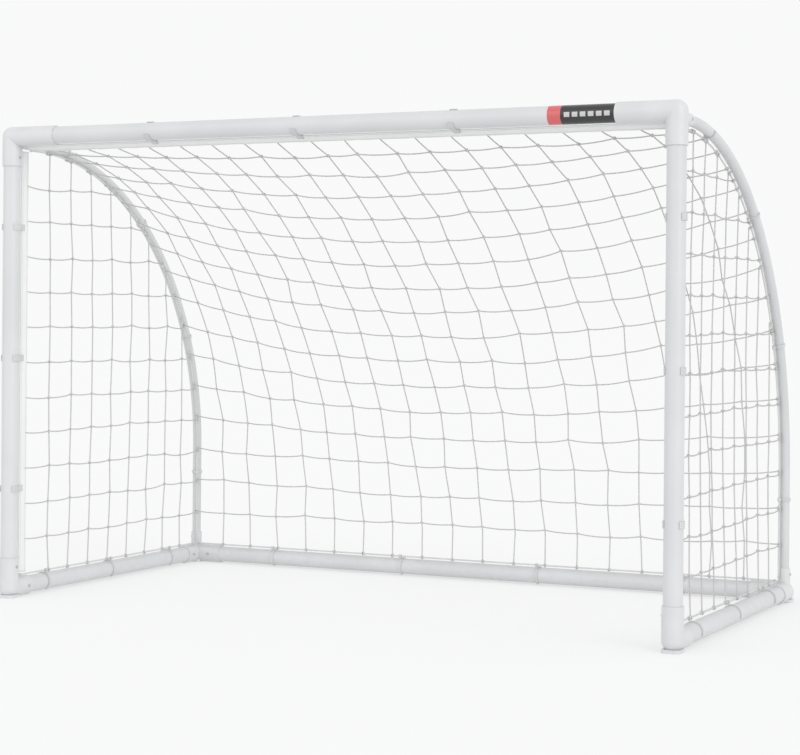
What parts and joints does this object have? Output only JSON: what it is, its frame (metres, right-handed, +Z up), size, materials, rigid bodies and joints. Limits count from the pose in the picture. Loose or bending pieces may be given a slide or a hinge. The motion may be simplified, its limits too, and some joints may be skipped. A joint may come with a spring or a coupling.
{
  "type": "soccer goal frame",
  "caption": "Freestanding small soccer goal: round white tube frame with corner connectors, curved rear stanchions and a square-mesh net held by clips.",
  "frame": {"origin": "on the ground, under the middle of the goal's outer box", "axes": "+X along the crossbar to the right seen from the front, +Y from the goal mouth to the rear, +Z up"},
  "size_m": [1.83, 0.97, 1.21],
  "materials": {
    "frame_tube": "white powder coat, satin",
    "stanchion": "white powder coat, satin",
    "connector": "white moulded plastic, semi-gloss",
    "lock_button": "bright zinc plate",
    "spring_steel": "oiled spring steel",
    "screw": "bright zinc plate",
    "net_clip": "pale grey moulded plastic",
    "net_twine": "white knotted polyethylene twine",
    "net_hem": "white woven tape",
    "net_rope": "white braided cord",
    "sticker": "printed gloss film, black with a red end"
  },
  "bodies": {
    "frame": {"crossbar": "frame_tube", "crossbar_net_clips": "net_clip", "left_base_net_clips": "net_clip", "left_front_foot_connector": "connector", "left_post": "frame_tube", "left_post_net_clips": "net_clip", "left_rear_connector": "connector", "left_side_base_tube": "frame_tube", "left_stanchion": "stanchion", "left_stanchion_net_clips": "net_clip", "left_top_connector": "connector", "lock_springs": "spring_steel", "net_back": "net_twine", "net_left_foot_rope": "net_rope", "net_left_post_hem": "net_hem", "net_left_seam_rope": "net_rope", "net_left_side": "net_twine", "net_rear_foot_rope": "net_rope", "net_right_foot_rope": "net_rope", "net_right_post_hem": "net_hem", "net_right_seam_rope": "net_rope", "net_right_side": "net_twine", "net_top_hem": "net_hem", "rear_base_net_clips": "net_clip", "rear_base_tube": "frame_tube", "right_base_net_clips": "net_clip", "right_front_foot_connector": "connector", "right_post": "frame_tube", "right_post_net_clips": "net_clip", "right_rear_connector": "connector", "right_side_base_tube": "frame_tube", "right_stanchion": "stanchion", "right_stanchion_net_clips": "net_clip", "right_top_connector": "connector", "stanchion_screws": "screw", "sticker": "sticker"},
    "lock_button_crossbar_left": {"lock_button_crossbar_left": "lock_button"},
    "lock_button_post_top_left": {"lock_button_post_top_left": "lock_button"},
    "lock_button_post_foot_left": {"lock_button_post_foot_left": "lock_button"},
    "lock_button_side_base_front_left": {"lock_button_side_base_front_left": "lock_button"},
    "lock_button_side_base_rear_left": {"lock_button_side_base_rear_left": "lock_button"},
    "lock_button_rear_base_left": {"lock_button_rear_base_left": "lock_button"},
    "lock_button_crossbar_right": {"lock_button_crossbar_right": "lock_button"},
    "lock_button_post_top_right": {"lock_button_post_top_right": "lock_button"},
    "lock_button_post_foot_right": {"lock_button_post_foot_right": "lock_button"},
    "lock_button_side_base_front_right": {"lock_button_side_base_front_right": "lock_button"},
    "lock_button_side_base_rear_right": {"lock_button_side_base_rear_right": "lock_button"},
    "lock_button_rear_base_right": {"lock_button_rear_base_right": "lock_button"}
  },
  "joints": [
    {"name": "press_crossbar_left", "type": "slide", "parent": "frame", "child": "lock_button_crossbar_left", "axis": [0, -1, 0], "range_m": [0, 0.0052], "stiffness_N_per_m": 800, "springref_m": -0.004, "deforming": ["lock_springs"]},
    {"name": "press_post_top_left", "type": "slide", "parent": "frame", "child": "lock_button_post_top_left", "axis": [-1, 0, 0], "range_m": [0, 0.0052], "stiffness_N_per_m": 800, "springref_m": -0.004, "deforming": ["lock_springs"]},
    {"name": "press_post_foot_left", "type": "slide", "parent": "frame", "child": "lock_button_post_foot_left", "axis": [-1, 0, 0], "range_m": [0, 0.0052], "stiffness_N_per_m": 800, "springref_m": -0.004, "deforming": ["lock_springs"]},
    {"name": "press_side_base_front_left", "type": "slide", "parent": "frame", "child": "lock_button_side_base_front_left", "axis": [-1, 0, 0], "range_m": [0, 0.0052], "stiffness_N_per_m": 800, "springref_m": -0.004, "deforming": ["lock_springs"]},
    {"name": "press_side_base_rear_left", "type": "slide", "parent": "frame", "child": "lock_button_side_base_rear_left", "axis": [-1, 0, 0], "range_m": [0, 0.0052], "stiffness_N_per_m": 800, "springref_m": -0.004, "deforming": ["lock_springs"]},
    {"name": "press_rear_base_left", "type": "slide", "parent": "frame", "child": "lock_button_rear_base_left", "axis": [0, 1, 0], "range_m": [0, 0.0052], "stiffness_N_per_m": 800, "springref_m": -0.004, "deforming": ["lock_springs"]},
    {"name": "press_crossbar_right", "type": "slide", "parent": "frame", "child": "lock_button_crossbar_right", "axis": [0, -1, 0], "range_m": [0, 0.0052], "stiffness_N_per_m": 800, "springref_m": -0.004, "deforming": ["lock_springs"]},
    {"name": "press_post_top_right", "type": "slide", "parent": "frame", "child": "lock_button_post_top_right", "axis": [1, 0, 0], "range_m": [0, 0.0052], "stiffness_N_per_m": 800, "springref_m": -0.004, "deforming": ["lock_springs"]},
    {"name": "press_post_foot_right", "type": "slide", "parent": "frame", "child": "lock_button_post_foot_right", "axis": [1, 0, 0], "range_m": [0, 0.0052], "stiffness_N_per_m": 800, "springref_m": -0.004, "deforming": ["lock_springs"]},
    {"name": "press_side_base_front_right", "type": "slide", "parent": "frame", "child": "lock_button_side_base_front_right", "axis": [1, 0, 0], "range_m": [0, 0.0052], "stiffness_N_per_m": 800, "springref_m": -0.004, "deforming": ["lock_springs"]},
    {"name": "press_side_base_rear_right", "type": "slide", "parent": "frame", "child": "lock_button_side_base_rear_right", "axis": [1, 0, 0], "range_m": [0, 0.0052], "stiffness_N_per_m": 800, "springref_m": -0.004, "deforming": ["lock_springs"]},
    {"name": "press_rear_base_right", "type": "slide", "parent": "frame", "child": "lock_button_rear_base_right", "axis": [0, 1, 0], "range_m": [0, 0.0052], "stiffness_N_per_m": 800, "springref_m": -0.004, "deforming": ["lock_springs"]}
  ]
}
